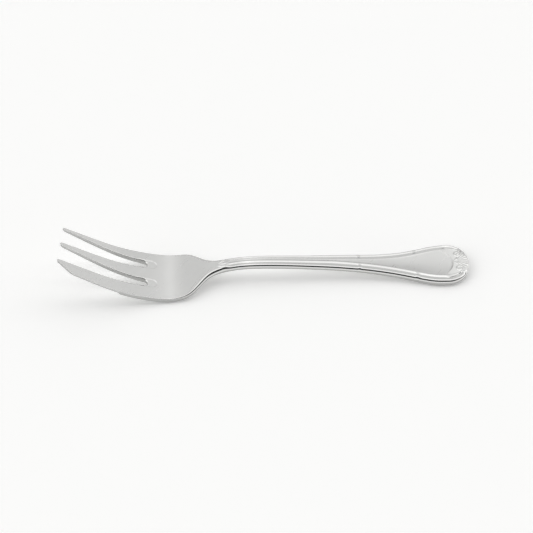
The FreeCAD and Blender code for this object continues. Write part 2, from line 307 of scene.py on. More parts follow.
def edge_step(points):
    """How far apart the edge's points are: closer round the tips, the roots and the ties."""
    x = points[:, 0]
    plain = np.minimum(smooth(*OFF_TIPS, x), smooth(*OFF_ROOTS, abs(x - (ROOT_X - 1))))
    for tie_x in TIES_X:
        plain = np.minimum(plain, TIE_STEP + (1 - TIE_STEP) * smooth(*OFF_TIES, abs(x - tie_x)))
    return EDGE_STEP + EDGE_MORE * plain - EDGE_LESS * smooth(NECK_X - 6, NECK_X, x) * plain


class Edge:
    """The outline with its inward directions, and distances from it."""

    BATCH = 2000                # places measured at a time
    SQUARE_ON = 0.7             # least share of a distance that runs straight inwards

    def __init__(self, points):
        self.points = points
        ahead = unit(np.roll(points, -1, axis=0) - np.roll(points, 1, axis=0))
        # The path runs clockwise, so that the fork lies to its right
        self.inward = np.stack([ahead[:, 1], -ahead[:, 0]], axis=1)
        self.outward = np.column_stack([-self.inward, np.zeros(len(points))])

    def measure(self, places):
        """How far inside the edge places lie, the inward direction and the nearest point."""
        nearest = np.empty(len(places), int)
        for k in range(0, len(places), self.BATCH):
            part = places[k:k + self.BATCH]
            apart = ((part[:, None, :] - self.points[None, :, :]) ** 2).sum(axis=2)
            nearest[k:k + self.BATCH] = apart.argmin(axis=1)
        offset = places - self.points[nearest]
        inward = self.inward[nearest]
        side = (offset * inward).sum(axis=1)
        length = np.linalg.norm(offset, axis=1)
        inset = np.where(abs(side) > self.SQUARE_ON * length, side, np.sign(side) * length)
        return inset, inward, nearest


# ---------------------------------------------------------------------------------------
# Relief
# ---------------------------------------------------------------------------------------
# Border: a groove between two beads, and the wall of the panel
THREAD_PLACE = 0.6          # the groove's middle, over the way from the outline to the panel
BEAD_CREST = 0.55           # where the outer bead starts to fall, over its round
INNER_CREST = 0.3           # from the inner bead's crest to the panel's wall
PANEL_WALL = 0.3            # from there to the panel's floor
HOLLOW_WIDTHS = (0.6, 5.0)  # the panel grows hollow while half its width lies between these
HOLLOW_WALL = (-0.2, 0.4)   # and between these distances from its wall
LEAST_PANEL = 0.3           # half a width that hardly counts as a panel
CHANNEL = 0.25              # half of what the panel narrows to along the shank
TIE_LENGTH, TIE_TOP, TIE_FILL = 2.2, 0.4, 0.6      # whole, level part, share of the groove

# The leaf at the neck from which the border springs, and where the border starts
BUD_X = NECK_X - 3.0
BORDER_START_X, BORDER_FULL_X = BUD_X + 0.6, BUD_X + 3.6
# One side of the leaf and its vein, as x from BUD_X, y, the cord's width and its height
BUD_SIDE = [(2.6, 1.75, 0.7, 0.05), (0, 1.35, 1.0, 0.2), (-1.5, 0.6, 0.8, 0.14)]
BUD_TIP = (-1.75, 0, 0.6, 0.1)
BUD_VEIN = [(-1.2, 0, 0.5, 0.08), (0.6, 0, 1.0, 0.16), (2.0, 0, 0.3, 0.02)]
BUD_INSET = (1.25, 1.8)     # the leaf grows between these distances from the outline

# The panel's half-round end: its centre, and where the carved ground beyond it grows
PANEL_END_X = END_X - 13.0
PANEL_END_REACH = (6.2, 7.2)
GROUND_START_X, GROUND_FULL_X = END_X - 10.5, END_X - 7.5
GROUND_INSET = (1.0, 2.2)
GROUND_SHARE = 0.5          # how deep the ground is, over the thread

# The shell and the scrolls on the end. Cords are given by x, y, width and height.
HUB_X = END_X - 4.9
RIBS, RIB_FAN = 7, 96.0     # how many, and degrees between the outermost ones
RIB_LENGTH, RIB_SHORTER = 4.3, 0.5
RIB_STEPS = [(0.8, 0.35, 0.08), (2.0, 0.65, 0.17), (3.2, 0.95, 0.21)]     # from the hub out
RIB_FOOT = (1.1, 0.17)
SHELL_LEAF = [(-0.7, 0.3, 0.5, 0.08), (0.2, 1.0, 0.9, 0.18), (0.5, 1.9, 0.4, 0.04)]
SCROLL_TAIL = [(-8.8, 6.75), (-6.4, 6.5), (-4.4, 6.0), (-3.2, 5.3)]       # from END_X
SCROLL_X, SCROLL_Y, SCROLL_RADIUS = END_X - 4.1, 3.75, 1.5
SCROLL_TURNS, SCROLL_START, SCROLL_SHRINK = 1.3, 0.9, 0.82
SCROLL_WIDTH, SCROLL_HEIGHT = 0.95, 0.19
SHELL_INSET = (0.1, 0.6)
# Where the outer bead gives way to the shell: along the fork, and from the centre line
SHELL_START_X, SHELL_FULL_X = CORNER_X + 2, CORNER_X + 4
SHELL_SIDE = (6.2, 3.0)

CORD_FOOT = 1.3             # how far a cord runs out at its foot, over its width
CORD_REACH = 1.5            # farther than any cord runs out

# The shallow dishes in which the slots run out on the palm
RUN_OUT_DEPTH, RUN_OUT_WIDTH, RUN_OUT_WALL = 0.14, 4.2, 0.35
RUN_OUT_X = ROOT_X + 1.6    # the centre of their round end
RUN_OUT_START_X, RUN_OUT_FULL_X = ROOT_X - 4.5, ROOT_X - 1.5


def cord(x, y, rows):
    """A rounded cord through rows of its x, y, width and height."""
    rows = np.asarray(rows, float)
    low = rows[:, :2].min(axis=0) - CORD_REACH
    high = rows[:, :2].max(axis=0) + CORD_REACH
    close = (x > low[0]) & (x < high[0]) & (y > low[1]) & (y < high[1])
    px, py = x[close], y[close]
    best = np.zeros(len(px))
    for start, step in zip(rows, np.diff(rows, axis=0)):
        share = (px - start[0]) * step[0] + (py - start[1]) * step[1]
        share = np.clip(share / (step[:2] @ step[:2]), 0, 1)
        apart = np.hypot(px - start[0] - share * step[0], py - start[1] - share * step[1])
        half = (start[2] + step[2] * share) * CORD_FOOT / 2
        top = start[3] + step[3] * share
        best = np.maximum(best, top * np.clip(1 - (apart / half) ** 2, 0, 1) ** 2)
    rise = np.zeros(len(x))
    rise[close] = best
    return rise


def scroll(side):
    """The path of one scroll: a tail along the border that winds in to its centre."""
    share = np.linspace(0, 1, 40)
    angle = side * SCROLL_START - side * share * SCROLL_TURNS * 2 * math.pi
    radius = SCROLL_RADIUS * (1 - SCROLL_SHRINK * share)
    spiral = np.stack([SCROLL_X + radius * np.cos(angle),
                       side * SCROLL_Y + radius * np.sin(angle)], axis=1)
    tail = [(END_X + tail_x, side * tail_y) for tail_x, tail_y in SCROLL_TAIL]
    return np.vstack([tail, spiral])


def palmette(x, y):
    """The raised shell, its leaves and the scrolls on the handle's end."""
    cords = []
    for side in (1, -1):
        path = scroll(side)
        grown = np.minimum(1, np.arange(1, len(path) + 1) / len(SCROLL_TAIL))
        cords.append(np.column_stack([path, SCROLL_WIDTH * grown, SCROLL_HEIGHT * grown ** 2]))
        cords.append([(HUB_X + leaf_x, side * leaf_y, width, height)
                      for leaf_x, leaf_y, width, height in SHELL_LEAF])
    for k in range(RIBS):
        angle = math.radians(RIB_FAN * (k / (RIBS - 1) - 0.5))
        foot = (RIB_LENGTH - RIB_SHORTER * abs(math.sin(angle)), *RIB_FOOT)
        cords.append([(HUB_X + away * math.cos(angle), away * math.sin(angle), width, height)
                      for away, width, height in RIB_STEPS + [foot]])
    return np.max([cord(x, y, rows) for rows in cords], axis=0)


def bud(x, y):
    """The small leaf from which the border springs at the neck."""
    other_side = [(bud_x, -bud_y, width, height) for bud_x, bud_y, width, height in BUD_SIDE]
    rim = BUD_SIDE + [BUD_TIP] + other_side[::-1]
    return np.maximum(cord(x - BUD_X, y, rim), cord(x - BUD_X, y, BUD_VEIN))


def run_outs(x, y):
    """The shallow dishes in which the slots run out on the palm."""
    depth = np.zeros(len(x))
    for slot_y in (FAR_SLOT_Y, NEAR_SLOT_Y):
        away = np.hypot(np.maximum(0, x - RUN_OUT_X), y - slot_y)
        inside = 1 - smooth(RUN_OUT_WIDTH / 2 - RUN_OUT_WALL, RUN_OUT_WIDTH / 2, away)
        depth += smooth(RUN_OUT_START_X, RUN_OUT_FULL_X, x) * RUN_OUT_DEPTH * inside
    return depth


def panel_end(x, y):
    """0 on the panel and 1 beyond its half-round end."""
    away = np.hypot(np.maximum(0, x - PANEL_END_X), y)
    return smooth(*PANEL_END_REACH, away) * smooth(GROUND_START_X, GROUND_FULL_X, x)


def relief(x, y, inset, look):
    """How far the upper face stands over its plain form."""
    half = np.minimum(far_side(x), near_side(x))
    wall = np.minimum(look.panel_inset, half - CHANNEL)
    thread = THREAD_PLACE * wall
    crest = wall - INNER_CREST
    beyond = panel_end(x, y)

    # The groove falls from the outer bead and rises to the inner one, and ties cross it
    groove = look.thread_depth * smooth(BEAD_CREST * look.bead_round, thread, inset)
    groove = groove * (1 - smooth(thread, crest, inset))
    for tie_x in TIES_X:
        groove = groove * (1 - TIE_FILL * smooth(TIE_LENGTH / 2, TIE_TOP / 2, abs(x - tie_x)))
    # Its inner side ends at the scrolls, the outer bead goes on to the shell
    shell = smooth(*SHELL_SIDE, abs(y)) * smooth(SHELL_START_X, SHELL_FULL_X, x)
    inner_side = smooth(0.9 * thread, 1.1 * thread, inset)
    groove = groove * (1 - shell) * (1 - inner_side * beyond)

    # The panel: its wall, and its floor that is hollow across
    floor = look.panel_depth * smooth(crest, wall + PANEL_WALL, inset) * (1 - beyond)
    across = np.clip(y / np.maximum(half - wall, LEAST_PANEL), -1, 1)
    hollow = look.panel_hollow * smooth(*HOLLOW_WIDTHS, half - wall) * (1 - across ** 2)
    hollow = hollow * (1 - beyond) * smooth(*HOLLOW_WALL, inset - wall)

    ground = beyond * GROUND_SHARE * look.thread_depth * smooth(*GROUND_INSET, inset)
    started = smooth(BORDER_START_X, BORDER_FULL_X, x)
    sunk = (groove + floor + hollow) * started + ground + run_outs(x, y)
    raised = palmette(x, y) * smooth(*SHELL_INSET, inset) + bud(x, y) * smooth(*BUD_INSET, inset)
    return raised - sunk


def bottom_z(x, y):
    """The height of the underside, with the cutting tine's bevel."""
    far, near = far_side(x), -near_side(x)
    across = (y - (far + near) / 2) / ((far - near) / 2)
    plain = upper_face(x) - thickness(x) + crown(x) * across ** 2
    slope = (TINE_THICKNESS - BEVEL_EDGE) / BEVEL_WIDTH
    reach = y - (CUTTING_Y - CUTTING_WIDTH / 2)
    bevel = upper_face(x) - BEVEL_EDGE - slope * reach
    cut = (x < TIP_X + BEVEL_LENGTH) & (y < CUTTING_Y + BEVEL_WIDTH)
    return np.where(cut, np.maximum(plain, bevel), plain)


def normals_of(height, x, y):
    """Upward normals of a height field."""
    step = 0.02
    rise_x = (height(x + step, y) - height(x - step, y)) / (2 * step)
    rise_y = (height(x, y + step) - height(x, y - step)) / (2 * step)
    return unit(np.stack([-rise_x, -rise_y, np.ones(len(x))], axis=1))


# ---------------------------------------------------------------------------------------
# The fork's mesh
# ---------------------------------------------------------------------------------------
# Patches of points within the outline: two corners, and how far apart the points are
SHELL_X = END_X - 11
HEAD_PATCH = (TIP_X, -12.2), (BUD_X - 1.5, 11.8), 0.5
ROOT_PATCH = (ROOT_X - 4, -6.4), (ROOT_X + 5, 8.2), 0.15
NECK_PATCH = (BUD_X - 4, -6), (BUD_X + 3, 6), 0.15
HANDLE_PATCH = (NECK_X - 5, -9.6), (SHELL_X, 9.6), 0.32
SHELL_PATCH = (SHELL_X, -9), (END_X, 9), 0.14
UNDER_PATCH = (TIP_X - 0.5, -12.2), (END_X, 11.8), 0.9
ROW_STEP = 0.12             # between the rows of points along the border

UPPER_TURNS = (75, 60, 45, 30, 15, 0)       # degrees round the broken upper edge
LOWER_TURNS = (25, 50, 75, 90)              # and round the lower one
BEAD_GROWS = (NECK_X - 23, NECK_X - 6)      # where the upper edge grows into the outer bead
LEAST_ROUND = 0.2           # the lower edge's radius in the slots and at the tips
LOWER_SHARE = 0.6           # the most that the lower edge takes of the wall's height
SAME_PLACE = 0.03
CARVED_POLISH = 0.7         # polish of the ground round the shell


def grid(low, high, step):
    """Points of a triangular grid over a rectangle."""
    xs = np.arange(low[0], high[0], step)
    rows = np.arange(low[1], high[1], step * 0.866)
    points = [np.stack([xs + (step / 2 if k % 2 else 0), np.full(len(xs), row)], axis=1)
              for k, row in enumerate(rows)]
    return np.vstack(points)


def outside(places, patch):
    """The places that lie outside a patch of finer points."""
    low, high = patch.min(axis=0) - ROW_STEP, patch.max(axis=0) + ROW_STEP
    return places[((places < low) | (places > high)).any(axis=1)]


def filled(ring, inner):
    """Triangles over the area inside ring, through the inner points."""
    count = len(ring)
    points = [Vector(p) for p in np.vstack([ring, inner])]
    edges = [(k, (k + 1) % count) for k in range(count)]
    found = delaunay_2d_cdt(points, edges, [], 1, 1e-6)
    source = [origins[0] if origins else -1 for origins in found[3]]
    if len(found[0]) != len(points) or min(source) < 0:
        raise RuntimeError("the fork's outline crosses itself")
    faces = []
    for face in found[2]:
        a, b, c = (source[k] for k in face)
        (ax, ay), (bx, by), (cx, cy) = points[a], points[b], points[c]
        turn = (bx - ax) * (cy - ay) - (by - ay) * (cx - ax)
        faces.append((a, b, c) if turn > 0 else (a, c, b))
    return np.array(faces)


def spread(values):
    """Values round the closed edge, evened out over their neighbours."""
    reach = 14
    window = np.ones(2 * reach + 1) / (2 * reach + 1)
    return np.convolve(np.concatenate([values[-reach:], values, values[:reach]]), window, "valid")


def edge_radii(edge, look):
    """The radii of the broken upper and lower edge, for each point of the outline."""
    x, y = edge.points.T
    on_side = np.minimum(abs(y - far_side(x)), abs(y + near_side(x))) < SAME_PLACE
    on_side = (on_side & (x > TIP_X + 1.5)) | (x > CORNER_X)
    in_slot = ~on_side & (x > TIP_X + 3) & (x < ROOT_X + 1)
    lower = LEAST_ROUND + (look.lower_round - LEAST_ROUND) * spread(on_side.astype(float))
    upper = look.edge_round + (look.slot_round - look.edge_round) * spread(in_slot.astype(float))
    upper = upper + (look.bead_round - upper) * smooth(*BEAD_GROWS, x)
    return upper, lower


class Skin:
    """The fork's points, normals and faces, gathered from the upper face to the underside."""

    def __init__(self, edge):
        self.edge = edge
        self.count = len(edge.points)
        self.points, self.normals, self.faces = [], [], []
        self.size = 0
        self.rings = []         # where each ring round the edge starts

    def add(self, places, z, normals):
        """Points with their normals. Gives where they start."""
        start = self.size
        self.points.append(np.column_stack([places, z]))
        self.normals.append(normals)
        self.size += len(places)
        return start

    def add_ring(self, inset, z, normals):
        """One more ring at a distance from the outline, joined to the last one."""
        places = self.edge.points + self.edge.inward * np.reshape(inset, (-1, 1))
        above, below = self.rings[-1], self.add(places, z, normals)
        here = np.arange(self.count)
        ahead = np.roll(here, -1)
        quads = [above + here, above + ahead, below + ahead, below + here]
        self.faces.append(np.stack(quads, axis=1))
        self.rings.append(below)


def border_rows(edge, look):
    """Points in rows along the border, which its beads and grooves follow."""
    on_handle = edge.points[:, 0] > BUD_X - 1
    points, inward = edge.points[on_handle], edge.inward[on_handle]
    rows = []
    for inset in np.arange(look.bead_round + 0.1, look.panel_inset + 0.6, ROW_STEP):
        places = points + inward * inset
        kept = (edge.measure(places)[0] > inset - 0.01) & (abs(places[:, 1]) > 0.04)
        rows.append(places[kept & (places[:, 0] < SHELL_X - 0.1)])
    return np.vstack(rows)


def inner_points(edge, upper_round, look):
    """The points of the upper face within its broken edge, closer where it is carved."""
    head, roots, neck, handle, shell = (
        grid(*patch) for patch in (HEAD_PATCH, ROOT_PATCH, NECK_PATCH, HANDLE_PATCH, SHELL_PATCH))

    def past_round(places, more):
        """The places that lie inside the broken edge by more than that much."""
        inset, _, nearest = edge.measure(places)
        return places[inset > upper_round[nearest] + more]

    on_panel = edge.measure(handle)[0] > look.panel_inset + 0.7
    points = np.vstack([
        past_round(outside(border_rows(edge, look), neck), 0.05),
        past_round(outside(outside(head, neck), roots), 0.25),
        outside(handle[on_panel], neck),
        past_round(shell, 0.08),
        past_round(neck, 0.1),
        past_round(roots, 0.1),
    ])
    return np.unique(np.round(points, 3), axis=0)


def add_upper_face(skin, upper_round, look):
    """The face within the broken edge. Gives its places and how far inside they lie."""
    edge, count = skin.edge, skin.count
    ring = edge.points + edge.inward * upper_round[:, None]
    flat = np.vstack([ring, inner_points(edge, upper_round, look)])
    inset, inward, _ = edge.measure(flat)
    inset[:count] = upper_round

    def height(x, y):
        moved = inset + (x - flat[:, 0]) * inward[:, 0] + (y - flat[:, 1]) * inward[:, 1]
        return upper_face(x) + relief(x, y, moved, look)

    skin.rings.append(skin.add(flat, height(*flat.T), normals_of(height, *flat.T)))
    skin.faces.append(filled(ring, flat[count:]))
    return flat, inset


def add_upper_edge(skin, upper_round):
    """The broken upper edge, from the face outwards."""
    face_z = skin.points[0][:skin.count, 2]
    face_normals = skin.normals[0][:skin.count]
    for turn in np.radians(UPPER_TURNS):
        normals = face_normals * math.sin(turn) + skin.edge.outward * math.cos(turn)
        skin.add_ring(upper_round * (1 - math.cos(turn)),
                      face_z - upper_round * (1 - math.sin(turn)), unit(normals))


def add_flank(skin, lower_round):
    """The upright wall and the broken lower edge."""
    edge = skin.edge
    rim_z = skin.points[-1][:, 2]
    low = bottom_z(*edge.points.T)
    lower = np.minimum(lower_round, LOWER_SHARE * (rim_z - low))
    for share in (0.5, 1.0):
        skin.add_ring(0, rim_z + (low + lower - rim_z) * share, edge.outward)
    for turn in np.radians(LOWER_TURNS):
        inset = lower * (1 - math.cos(turn))
        places = edge.points + edge.inward * inset[:, None]
        normals = edge.outward * math.cos(turn) - np.array([0, 0, math.sin(turn)])
        skin.add_ring(inset, bottom_z(*places.T) + lower * (1 - math.sin(turn)), unit(normals))
    skin.normals[-1] = -normals_of(bottom_z, *places.T)


def add_underside(skin, look):
    """The underside, within the broken lower edge."""
    ring = skin.points[-1][:, :2]
    under = grid(*UNDER_PATCH)
    under = under[skin.edge.measure(under)[0] > look.lower_round + 0.35]
    start = skin.add(under, bottom_z(*under.T), -normals_of(bottom_z, *under.T))
    numbers = np.concatenate([skin.rings[-1] + np.arange(skin.count),
                              start + np.arange(len(under))])
    skin.faces.append(numbers[filled(ring, under)][:, ::-1])


def make_fork_mesh(look):
    """The whole fork as one closed mesh with its own normals, a polish mask and a mask of painted
    shade on the flanks.
    """
    edge = Edge(spaced(outline(), edge_step))
    upper_round, lower_round = edge_radii(edge, look)
    skin = Skin(edge)
    flat, inset = add_upper_face(skin, upper_round, look)
    add_upper_edge(skin, upper_round)
    rim = skin.rings[-1]
    add_flank(skin, lower_round)
    foot = skin.rings[-1] + skin.count
    add_underside(skin, look)

    points = np.vstack(skin.points)
    points[:, 2] += CAD_BOX[0][2] / MM - points[:, 2].min()
    faces = [face for part in skin.faces for face in part.tolist()]
    mesh = bpy.data.meshes.new("fork_forging")
    mesh.from_pydata((points * MM).tolist(), [], faces)
    mesh.validate(verbose=False)
    mesh.update()
    mesh.polygons.foreach_set("use_smooth", np.ones(len(mesh.polygons), bool))
    mesh.normals_split_custom_set_from_vertices(np.vstack(skin.normals).tolist())

    # Polished all over but for the head and the panel; the flanks are marked for painted shade
    on_border = (smooth(NECK_X - 4, NECK_X + 1, flat[:, 0])
                 * (1 - smooth(look.panel_inset - 0.1, look.panel_inset + 0.25, inset)))
    carved = CARVED_POLISH * panel_end(*flat.T)
    polish = np.ones(len(points))
    polish[skin.count:len(flat)] = np.maximum(on_border, carved)[skin.count:]
    # Painted shade: this mask darkens the flanks' colour, standing in for the shadowed table that
    # they reflect
    flank = np.zeros(len(points))
    flank[rim:foot] = 1.0
    for name, values in (("polish", polish), ("flank", flank)):
        mask = mesh.attributes.new(name, "FLOAT", "POINT")
        mask.data.foreach_set("value", values.astype(np.float32))
    return mesh


# ---------------------------------------------------------------------------------------
# Finish
# ---------------------------------------------------------------------------------------
# Textures of the steel, in waves per metre: streaks lie along the brushing
BRUSH_ANGLE = math.radians(-52)
STREAK_SCALE, FINE_SCALE = (26, 900, 300), (160, 5200, 900)
CLOUD_SCALE, WEAR_SCALE = 60.0, 420.0
BRUSH_RELIEF = 0.000012     # metres
POLISHED_OFF = 0.85         # how much of the brushing the polish takes away
NOISE_SPAN = (0.3, 0.7)     # where most of a texture's values lie
PALER, DARKER = 1.02, 0.975     # how far the clouds take the steel's colour

# The room's brightness over the arch from the back (0), overhead (0.5), to the camera's side (1)
ROOM_ARCH = [(0.0, 0.85), (0.1, 0.84), (0.15, 0.6), (0.2, 0.5), (0.238, 1.0), (0.317, 1.0),
             (0.37, 1.0), (0.405, 1.3), (0.555, 1.35), (0.57, 0.3), (0.585, 0.02), (0.88, 0.02),
             (0.905, 0.75), (1.0, 0.85)]
# And the same towards the tines' side and towards the handle's side
ROOM_LEFT = [(0.0, 0.6), (0.1, 0.72), (0.3, 0.78), (0.42, 1.5), (0.9, 1.5), (1.0, 0.9)]
ROOM_RIGHT = [(0.0, 0.65), (0.1, 0.76), (0.3, 0.83), (0.4, 1.5), (0.55, 1.5), (0.6, 0.06),
              (0.82, 0.06), (0.85, 0.8), (1.0, 0.9)]
ROOM_PEAK = 1.6             # brighter than any place of the room
ROOM_SIDE = (0.33, 0.6)     # the arch turns into the sides between these, sideways
ROOM_FALL = (0.02, 0.16, 1.06, 0.88)        # the arch dims a little from its middle
HORIZON = (0.02, 0.12)      # the backdrop at the table's height ends between these, upwards
WHITE = (1.0, 1.0, 0.995, 1)


class Nodes:
    """Short words for making and joining shader nodes."""

    def __init__(self, tree):
        self.tree = tree
        tree.nodes.clear()

    def add(self, kind, **settings):
        node = self.tree.nodes.new(kind)
        for key, value in settings.items():
            setattr(node, key, value)
        return node

    def join(self, source, target):
        self.tree.links.new(source, target)

    def maths(self, operation, first, second=None):
        node = self.add("ShaderNodeMath", operation=operation)
        for socket, value in zip(node.inputs, (first, second)):
            if value is None:
                continue
            if isinstance(value, (int, float)):
                socket.default_value = value
            else:
                self.join(value, socket)
        return node.outputs[0]

    def remap(self, value, low, high, to_low, to_high):
        node = self.add("ShaderNodeMapRange")
        self.join(value, node.inputs[0])
        for socket, number in zip(node.inputs[1:5], (low, high, to_low, to_high)):
            socket.default_value = number
        return node.outputs[0]

    def blend(self, first, second, share):
        """A number between first and second, which may be plain."""
        node = self.add("ShaderNodeMix", data_type="FLOAT")
        self.join(share, node.inputs[0])
        self.join(first, node.inputs[2])
        if isinstance(second, float):
            node.inputs[3].default_value = second
        else:
            self.join(second, node.inputs[3])
        return node.outputs[0]

    def noise(self, vector, scale, detail, rough):
        node = self.add("ShaderNodeTexNoise")
        self.join(vector, node.inputs["Vector"])
        node.inputs["Scale"].default_value = scale
        node.inputs["Detail"].default_value = detail
        node.inputs["Roughness"].default_value = rough
        return node.outputs["Fac"]

    def mapped(self, vector, scale=(1, 1, 1), rotation=(0, 0, 0)):
        node = self.add("ShaderNodeMapping")
        self.join(vector, node.inputs["Vector"])
        node.inputs["Scale"].default_value = scale
        node.inputs["Rotation"].default_value = rotation
        return node.outputs[0]

    def attribute(self, name):
        return self.add("ShaderNodeAttribute", attribute_name=name).outputs["Fac"]

    def end(self, kind, shader):
        """Join the shader to its output node."""
        self.join(shader.outputs[0], self.add(kind).inputs["Surface"])


def steel_finish(look):
    """Stainless steel: a satin ground with fine brushing, polished edges and beads, and painted
    shade on the flanks.
    """
    material = bpy.data.materials.new("stainless_steel")
    material.use_nodes = True
    n = Nodes(material.node_tree)
    place = n.add("ShaderNodeTexCoord").outputs["Object"]
    polish = n.attribute("polish")

    turned = n.mapped(place, rotation=(0, 0, BRUSH_ANGLE))
    streaks = n.noise(n.mapped(turned, scale=STREAK_SCALE), 1.0, detail=4.0, rough=0.62)
    fine = n.noise(n.mapped(turned, scale=FINE_SCALE), 1.0, detail=2.0, rough=0.5)
    clouds = n.noise(place, CLOUD_SCALE, detail=4.0, rough=0.55)
    wear = n.noise(place, WEAR_SCALE, detail=5.0, rough=0.65)

    rough, keen = look.satin_roughness, look.polish_roughness
    satin = n.remap(streaks, *NOISE_SPAN, rough - 0.05, rough + 0.07)
    satin = n.maths("ADD", satin, n.remap(clouds, *NOISE_SPAN, -0.02, 0.03))
    bright = n.remap(wear, 0.35, 0.75, keen, keen + 0.06)

    tint = n.add("ShaderNodeMix", data_type="RGBA")
    n.join(n.remap(clouds, *NOISE_SPAN, 0.0, 1.0), tint.inputs[0])
    steel = Vector(look.steel_colour)
    tint.inputs[6].default_value = (*(steel * DARKER), 1)
    tint.inputs[7].default_value = (*(steel * PALER), 1)
    # Painted shade: the flanks' colour is darkened, standing in for the shadowed table that they
    # reflect
    shaded_flank = n.add("ShaderNodeMix", data_type="RGBA")
    n.join(n.attribute("flank"), shaded_flank.inputs[0])
    n.join(tint.outputs[2], shaded_flank.inputs[6])
    shaded_flank.inputs[7].default_value = (*(steel * look.flank_shade_tone), 1)

    brushed = n.maths("ADD", n.maths("MULTIPLY", streaks, 0.6), n.maths("MULTIPLY", fine, 0.4))
    ground = n.maths("SUBTRACT", 1.0, n.maths("MULTIPLY", polish, POLISHED_OFF))
    bump = n.add("ShaderNodeBump")
    bump.inputs["Distance"].default_value = BRUSH_RELIEF
    n.join(n.maths("MULTIPLY", ground, look.brush_strength), bump.inputs["Strength"])
    n.join(brushed, bump.inputs["Height"])

    shader = n.add("ShaderNodeBsdfPrincipled")
    shader.inputs["Metallic"].default_value = 1.0
    n.join(shaded_flank.outputs[2], shader.inputs["Base Color"])
    n.join(n.blend(satin, bright, polish), shader.inputs["Roughness"])
    n.join(bump.outputs[0], shader.inputs["Normal"])
    n.end("ShaderNodeOutputMaterial", shader)
    return material


def floor_finish(look):
    """Matt pale paper, lifted a little for what sees it: the camera and the bright steel."""
    material = bpy.data.materials.new("table_paper")
    material.use_nodes = True
    n = Nodes(material.node_tree)
    shader = n.add("ShaderNodeBsdfPrincipled")
    shader.inputs["Base Color"].default_value = (*look.floor_colour, 1)
    shader.inputs["Roughness"].default_value = 0.9
    shader.inputs["Specular IOR Level"].default_value = 0.0
    shader.inputs["Emission Color"].default_value = WHITE
    path = n.add("ShaderNodeLightPath")
    seen = n.maths("MAXIMUM", path.outputs["Is Camera Ray"], path.outputs["Is Glossy Ray"])
    seen = n.maths("MAXIMUM", seen, path.outputs["Is Transmission Ray"])
    n.join(n.maths("MULTIPLY", seen, look.floor_lift), shader.inputs["Emission Strength"])
    n.end("ShaderNodeOutputMaterial", shader)
    return material


def room_light(look):
    """A studio room: pale walls, a wide soft lamp overhead, and dark behind the camera."""
    world = bpy.data.worlds.new("studio_room")
    world.use_nodes = True
    bpy.context.scene.world = world
    n = Nodes(world.node_tree)
    split = n.add("ShaderNodeSeparateXYZ")
    n.join(n.add("ShaderNodeTexCoord").outputs["Generated"], split.inputs[0])
    x, y, z = split.outputs
    around = n.maths("DIVIDE", n.maths("ARCTAN2", z, y), math.pi)

    def glow_of(levels):
        ramp = n.add("ShaderNodeValToRGB")
        stops = ramp.color_ramp.elements
        while len(stops) < len(levels):
            stops.new(1.0)
        for stop, (place, glow) in zip(stops, levels):
            stop.position = place
            stop.color = (glow / ROOM_PEAK,) * 3 + (1,)
        n.join(around, ramp.inputs[0])
        return n.maths("MULTIPLY", ramp.outputs[0], ROOM_PEAK)

    start, stop = ROOM_SIDE
    middle = n.remap(n.maths("ABSOLUTE", x), *ROOM_FALL)
    glow = n.maths("MULTIPLY", glow_of(ROOM_ARCH), middle)
    glow = n.blend(glow, glow_of(ROOM_RIGHT), n.remap(x, start, stop, 0.0, 1.0))
    glow = n.blend(glow, glow_of(ROOM_LEFT), n.remap(x, -start, -stop, 0.0, 1.0))
    glow = n.blend(glow, look.horizon_glow, n.remap(z, *HORIZON, 1.0, 0.0))
    background = n.add("ShaderNodeBackground")
    background.inputs["Color"].default_value = WHITE
    n.join(n.maths("MULTIPLY", glow, look.room_strength), background.inputs["Strength"])
    n.end("ShaderNodeOutputWorld", background)


# ---------------------------------------------------------------------------------------
# Stage, in metres and degrees
# ---------------------------------------------------------------------------------------
TABLE_RADIUS, TABLE_SIDES = 1.6, 96
TABLE_GAP = 0.00002         # the table's face lies this far under the fork

# The photograph's camera, solved from the fork's outline
CAMERA_AZIMUTH, CAMERA_ELEVATION, CAMERA_ROLL = -3.6144, 46.0, 0.0346
CAMERA_TARGET = Vector((-0.0004773, 0.0050677, 0))
CAMERA_DISTANCE = 0.5210794
SENSOR_WIDTH, NEAREST_SEEN = 36, 0.01       # millimetres and metres


def make_table(look):
    """A round table top."""
    ring = arc((0, 0), TABLE_RADIUS, 0, 2 * math.pi, TABLE_SIDES + 1)[:-1]
    mesh = bpy.data.meshes.new("table_top")
    mesh.from_pydata([(x, y, -TABLE_GAP) for x, y in ring], [], [list(range(len(ring)))])
    mesh.materials.append(floor_finish(look))
    return bpy.data.objects.new("table_top", mesh)


def make_camera(look):
    """The camera, turned to the fork as in the photograph."""
    azimuth, elevation, roll = map(math.radians, (CAMERA_AZIMUTH, CAMERA_ELEVATION, CAMERA_ROLL))
    back = Vector((math.sin(azimuth) * math.cos(elevation),
                   -math.cos(azimuth) * math.cos(elevation), math.sin(elevation)))
    right = Vector((math.cos(azimuth), math.sin(azimuth), 0))
    up = back.cross(right)
    turned = right * math.cos(roll) - up * math.sin(roll)
    risen = right * math.sin(roll) + up * math.cos(roll)
    optics = bpy.data.cameras.new("camera")
    optics.lens = look.lens
    optics.sensor_width = SENSOR_WIDTH
    optics.clip_start = NEAREST_SEEN
    camera = bpy.data.objects.new("camera", optics)
    camera.matrix_world = (Matrix.Translation(CAMERA_TARGET + back * CAMERA_DISTANCE)
                           @ Matrix((turned, risen, back)).transposed().to_4x4())
    return camera


